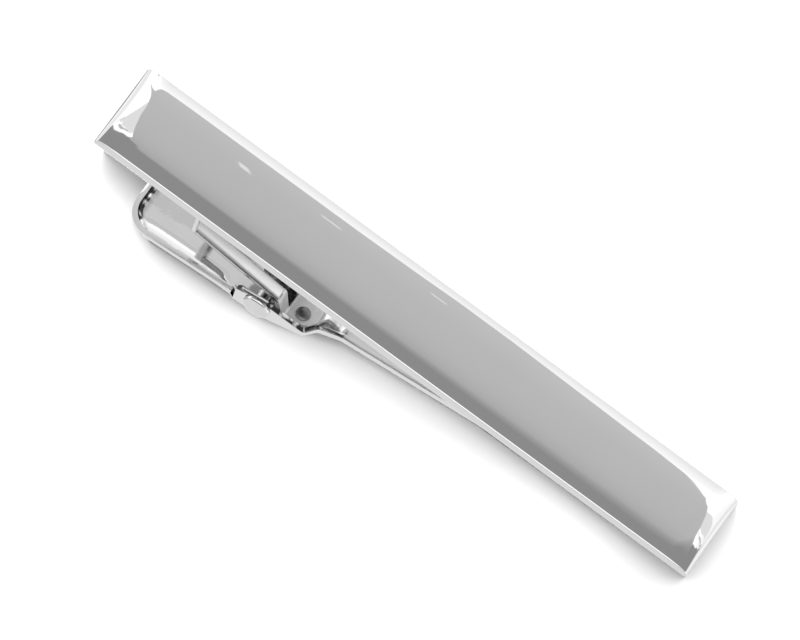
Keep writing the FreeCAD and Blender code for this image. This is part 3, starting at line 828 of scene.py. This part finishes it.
# Tones by degrees round the arch, then the degrees where the main card's dark near edge starts to fade and is
# gone, by millimetres along the bar
grey_tones = ((7.0, 0.51), (9.0, 0.535), (12.0, 0.572), (17.0, 0.605), (25.0, 0.622), (37.0, 0.637),
              (49.0, 0.68))
far_tones = ((50.6, 1.27), (53.2, 1.185), (55.6, 1.09), (85.0, 1.04))
fade_starts = ((0.0, 6.2), (55.0, 3.2), (61.0, 5.0), (66.0, 7.0), (76.0, 9.8), (90.0, 14.0))
fade_ends = ((0.0, 7.2), (55.0, 9.2), (61.0, 9.8), (66.0, 11.4), (76.0, 15.0), (90.0, 21.0))
main_card = ((-3.0, 0.0, 60.0), (5.0, -6.0, 95.0), (9.5, -12.0, 100.0), (10.3, -3.0, 100.0),
             (10.8, 0.0, 100.0), (11.5, -1.5, 100.0), (13.7, -5.0, 99.0), (19.0, -12.0, 97.0),
             (21.8, -14.5, 94.0), (24.0, -16.5, 94.0), (27.0, -19.0, 93.0), (30.0, -19.0, 89.0),
             (34.0, -19.0, 83.0), (37.0, -20.0, 77.0), (39.5, -20.5, 71.0), (41.4, -22.0, 62.0),
             (42.5, -24.0, 59.0), (43.0, -30.0, 58.3), (43.4, -21.0, 58.0), (44.3, -15.0, 57.5),
             (45.6, -12.5, 57.0), (47.8, -8.0, 56.0), (49.2, -4.0, 55.0), (50.2, 3.0, 51.5),
             (50.7, 21.0, 47.5), (51.4, 27.0, 42.5), (52.2, 31.0, 36.5))
dark_left_wing = ((-30.0, FAR_LEFT, -20.0), (-6.0, FAR_LEFT, -2.0), (5.5, FAR_LEFT, 2.5),
                  (6.4, FAR_LEFT, 1.3), (8.4, FAR_LEFT, 1.0), (8.8, FAR_LEFT, -1.0), (10.1, FAR_LEFT, -11.0),
                  (11.6, FAR_LEFT, -18.0), (13.3, FAR_LEFT, -25.0), (15.0, FAR_LEFT, -31.5),
                  (17.8, FAR_LEFT, -45.0), (20.4, FAR_LEFT, -58.0), (26.0, FAR_LEFT, -82.0),
                  (31.0, FAR_LEFT, -102.0), (46.0, FAR_LEFT, -154.0))
grey_left_line = ((12.6, -9.0, -5.0), (13.6, -19.0, -14.0), (16.0, -31.0, -27.0), (20.3, -49.0, -44.0),
                  (23.0, -62.0, -58.0))
pale_left_card = ((13.4, -10.0, 0.0), (14.4, -18.0, 0.0), (17.0, -30.0, 0.0), (21.5, -48.0, 0.0),
                  (26.5, -58.0, 0.0), (28.0, -43.0, 0.0), (31.3, -32.0, 0.0), (36.6, -20.0, 0.0))
pale_left_tail = ((23.5, -58.0, -50.0), (26.0, -70.0, -54.0), (28.0, -78.0, -66.0), (31.0, -92.0, -87.0),
                  (37.0, -121.0, -118.0))
dark_right_wing = ((-30.0, 80.0, FAR_RIGHT), (-6.0, 62.0, FAR_RIGHT), (5.0, 82.0, FAR_RIGHT),
                   (11.0, 90.0, FAR_RIGHT), (15.4, 92.0, FAR_RIGHT), (19.5, 97.0, FAR_RIGHT),
                   (24.5, 126.0, FAR_RIGHT), (38.7, 183.0, FAR_RIGHT), (46.0, 203.0, FAR_RIGHT),
                   (56.0, 228.0, FAR_RIGHT))
grey_right_line = ((25.0, 93.0, 99.0), (25.6, 105.0, 112.0), (31.0, 138.0, 143.0), (39.4, 178.0, 182.0),
                   (57.0, 229.0, 232.0))
pale_right_card = ((27.3, 94.0, 106.0), (28.5, 90.0, 114.0), (30.0, 87.0, 122.0), (33.0, 82.0, 138.0),
                   (35.5, 77.0, 150.0), (36.7, 76.0, 156.0), (37.2, 118.0, 158.0), (40.0, 140.0, 172.0),
                   (46.0, 186.0, 198.0))
pale_far_card = ((34.0, 110.0, 300.0), (49.9, 110.0, 300.0), (50.0, -250.0, 300.0), (85.0, -250.0, 300.0))
lamps = (((37.6, 9.3, 10.5), (40.0, 9.0, 10.0)), ((43.7, 17.3, 19.3), (44.5, 17.3, 19.3)),
         ((45.2, 28.6, 30.2), (45.9, 28.6, 30.2)))


def glowing(name, tone):
    """Material of a card that glows with one tone."""
    material, tree, output = new_material(name)
    glow = add_node(tree, "ShaderNodeEmission", {"Color": grey(tone)})
    tree.links.new(glow.outputs["Emission"], output.inputs["Surface"])
    return material


def sweep(name, tones, fades=()):
    """Material of a card whose tone runs round the arch, with a dark near edge that softens along it."""
    material, tree, output = new_material(name)
    place = add_node(tree, "ShaderNodeTexCoord").outputs["Object"]
    parts = add_node(tree, "ShaderNodeSeparateXYZ", {"Vector": place}).outputs
    angle = add_node(tree, "ShaderNodeMath", {0: parts["Y"], 1: parts["Z"]},
                     operation="ARCTAN2").outputs["Value"]
    degrees = add_node(tree, "ShaderNodeMath", {0: angle}, operation="DEGREES").outputs["Value"]
    lines = []
    for value, line in [(degrees, tones)] + [(parts["X"], fade) for fade in fades]:
        share = add_node(tree, "ShaderNodeMapRange",
                         {"Value": value, "From Min": line[0][0], "From Max": line[-1][0]})
        ramp = add_node(tree, "ShaderNodeValToRGB", {"Fac": share.outputs["Result"]}, tones=line)
        lines.append(ramp.outputs["Color"])
    colour = lines[0]
    if fades:
        lit = add_node(tree, "ShaderNodeMapRange",
                       {"Value": degrees, "From Min": lines[1], "From Max": lines[2]})
        colour = add_node(tree, "ShaderNodeMix",
                          {"Factor": lit.outputs["Result"], "A": grey(DARK_TONE), "B": colour},
                          data_type="RGBA").outputs["Result"]
    glow = add_node(tree, "ShaderNodeEmission", {"Color": colour})
    tree.links.new(glow.outputs["Emission"], output.inputs["Surface"])
    return material


def make_card(name, rows, material, layer):
    """Card on an arch round the bar, seen only in reflections."""
    radius = CARD_RADIUS + CARD_LAYER * layer
    starts = [(degrees, start) for degrees, start, _ in rows]
    ends = [(degrees, end) for degrees, _, end in rows]
    angles = {blend_between(rows[0][0], rows[-1][0], step / CARD_STEPS) for step in range(CARD_STEPS + 1)}
    builder = bmesh.new()
    strips = []
    for degrees in sorted(angles | {row[0] for row in rows}):
        turn = math.radians(degrees)
        across, high = radius * math.sin(turn), radius * math.cos(turn)
        start, end = through(starts, degrees), through(ends, degrees)
        strips.append([builder.verts.new((place, across, high)) for place in (start, end)])
    for first, second in zip(strips, strips[1:]):
        bridge(builder, first, second, closed=False)
    mesh = bpy.data.meshes.new(name)
    builder.to_mesh(mesh)
    builder.free()
    mesh.materials.append(material)
    card = bpy.data.objects.new(name, mesh)
    card.matrix_world = bar_frame @ Matrix.Translation((0.0, 0.0, BAR_EDGE + BAR_CROWN))
    card.visible_camera = False
    card.visible_diffuse = False
    card.visible_shadow = False
    card.visible_transmission = False
    bpy.context.scene.collection.objects.link(card)


# Room: its light, and what the polish shows of it. By height on a ball round the clip, that is pale paper, a
# dark horizon and a white tent. Ways that lie well along the bar meet the tent's ends, which hide the
# horizon: the left one rises from grey to white, and the right one is white all the way down.
ROOM_COLOUR = "#FFFFFF"
ROOM_LIGHT = 1.95
ROOM_IN_POLISH = 1.4
room_tones = ((-0.08, 0.63), (-0.03, 0.08), (0.25, 0.08), (0.34, 1.0))
END_ON = (0.35, 0.6)
LEFT_END_RISE = (-0.14, -0.02)
LEFT_END_TONES = (0.36, 0.87)
LEFT_TO_RIGHT = (-0.1, 0.1)
RIGHT_END_TONE = 0.87
# Key light
KEY_STRENGTH = 0.6
KEY_SPREAD = math.radians(14.0)
KEY_ABOVE_CAMERA = math.radians(9.0)
# Shade fences: places along and across a piece, each with its share of the fence height
FENCE_HEIGHT = 2.7
FENCE_TONE = 0.0
NEAR_SIDE = -BAR_WIDTH / 2.0
bar_fence = ((0.8, NEAR_SIDE, 1.0), (50.0, NEAR_SIDE, 1.0), (BAR_LENGTH, NEAR_SIDE, 2.1),
             (BAR_LENGTH, 3.9, 2.1))
lever_fence = ((-12.0, -2.0, 0.3), (-10.2, -3.5, 1.0), (EAR_FLAT_END, -3.6, 1.0), (SHOULDER, -3.0, 1.0),
               (KINK_START, -2.2, 1.0), (ARM_START, -1.6, 0.9), (14.0, -1.4, 0.7), (28.0, -1.0, 0.0))


def make_room():
    """White room that lights the clip evenly; its polish shows a white tent over a dark horizon."""
    world = bpy.data.worlds.new("white_room")
    world.use_nodes = True
    tree = world.node_tree
    background = tree.nodes["Background"]
    way = add_node(tree, "ShaderNodeTexCoord").outputs["Generated"]
    parts = add_node(tree, "ShaderNodeSeparateXYZ", {"Vector": way}).outputs
    height = add_node(tree, "ShaderNodeMapRange",
                      {"Value": parts["Z"], "From Min": room_tones[0][0], "From Max": room_tones[-1][0]})
    sides = add_node(tree, "ShaderNodeValToRGB", {"Fac": height.outputs["Result"]}, tones=room_tones)
    left_end = add_node(tree, "ShaderNodeMapRange",
                        {"Value": parts["Z"], "From Min": LEFT_END_RISE[0], "From Max": LEFT_END_RISE[1],
                         "To Min": LEFT_END_TONES[0], "To Max": LEFT_END_TONES[1]})
    ends = add_node(tree, "ShaderNodeMapRange",
                    {"Value": parts["X"], "From Min": LEFT_TO_RIGHT[0], "From Max": LEFT_TO_RIGHT[1],
                     "To Min": left_end.outputs["Result"], "To Max": RIGHT_END_TONE})
    lengthwise = add_node(tree, "ShaderNodeMath", {0: parts["X"], 1: parts["X"]}, operation="MULTIPLY")
    at_end = add_node(tree, "ShaderNodeMapRange",
                      {"Value": lengthwise.outputs["Value"], "From Min": END_ON[0], "From Max": END_ON[1]})
    in_polish = add_node(tree, "ShaderNodeMix",
                         {"Factor": at_end.outputs["Result"], "A": sides.outputs["Color"],
                          "B": ends.outputs["Result"]}, data_type="RGBA")
    ray = add_node(tree, "ShaderNodeLightPath").outputs["Is Glossy Ray"]
    tone = add_node(tree, "ShaderNodeMix",
                    {"Factor": ray, "A": linear(ROOM_COLOUR), "B": in_polish.outputs["Result"]},
                    data_type="RGBA")
    strength = add_node(tree, "ShaderNodeMapRange",
                        {"Value": ray, "To Min": ROOM_LIGHT, "To Max": ROOM_IN_POLISH})
    tree.links.new(tone.outputs["Result"], background.inputs["Color"])
    tree.links.new(strength.outputs["Result"], background.inputs["Strength"])
    bpy.context.scene.world = world


def make_fence(name, line, to_row, height):
    """Black fence on the paper, behind a piece and unseen itself, that shades the paper close to it."""
    builder = bmesh.new()
    foot, top = [], []
    lean = towards_camera / towards_camera.z
    for along, across, share in line:
        corner = to_row @ Vector((along, across, height))
        on_paper = corner - lean * corner.z
        foot.append(builder.verts.new(on_paper))
        top.append(builder.verts.new(on_paper + lean * (share * FENCE_HEIGHT * MM)))
    bridge(builder, foot, top, closed=False)
    mesh = bpy.data.meshes.new(name)
    builder.to_mesh(mesh)
    builder.free()
    mesh.materials.append(glowing("black_fence", FENCE_TONE))
    fence = bpy.data.objects.new(name, mesh)
    fence.visible_camera = False
    fence.visible_glossy = False
    bpy.context.scene.collection.objects.link(fence)


def make_key_light():
    """Soft key light from just above the camera, which drops the clip's shadow close below it."""
    light = bpy.data.lights.new("key_light", "SUN")
    light.energy = KEY_STRENGTH
    light.angle = KEY_SPREAD
    key = bpy.data.objects.new("key_light", light)
    towards_light = towards_camera * math.cos(KEY_ABOVE_CAMERA) + camera_up * math.sin(KEY_ABOVE_CAMERA)
    key.matrix_world = towards_light.to_track_quat("Z", "Y").to_matrix().to_4x4()
    key.visible_glossy = False
    bpy.context.scene.collection.objects.link(key)


make_floor()
dark_glow = glowing("dark_card", DARK_TONE)
pale_glow = glowing("pale_card", PALE_TONE)
line_glow = glowing("grey_line", LINE_TONE)
lamp_glow = glowing("small_lamp", LAMP_TONE)
grey_sweep = sweep("grey_sweep", grey_tones, (fade_starts, fade_ends))
pale_sweep = sweep("pale_sweep", far_tones)
make_card("main_card", main_card, grey_sweep, layer=0)
make_card("dark_left_wing", dark_left_wing, dark_glow, layer=-1)
make_card("dark_right_wing", dark_right_wing, dark_glow, layer=-1)
make_card("grey_left_line", grey_left_line, line_glow, layer=-1)
make_card("grey_right_line", grey_right_line, line_glow, layer=-1)
make_card("pale_left_card", pale_left_card, pale_glow, layer=1)
make_card("pale_left_tail", pale_left_tail, pale_glow, layer=1)
make_card("pale_right_card", pale_right_card, pale_glow, layer=1)
make_card("pale_far_card", pale_far_card, pale_sweep, layer=2)
for number, rows in enumerate(lamps):
    make_card(f"small_lamp_{number}", rows, lamp_glow, layer=-2)
make_room()
make_fence("bar_fence", bar_fence, bar_frame, height=0.0)
make_fence("lever_fence", lever_fence, lever_frame, height=FLOOR_MID)
make_key_light()
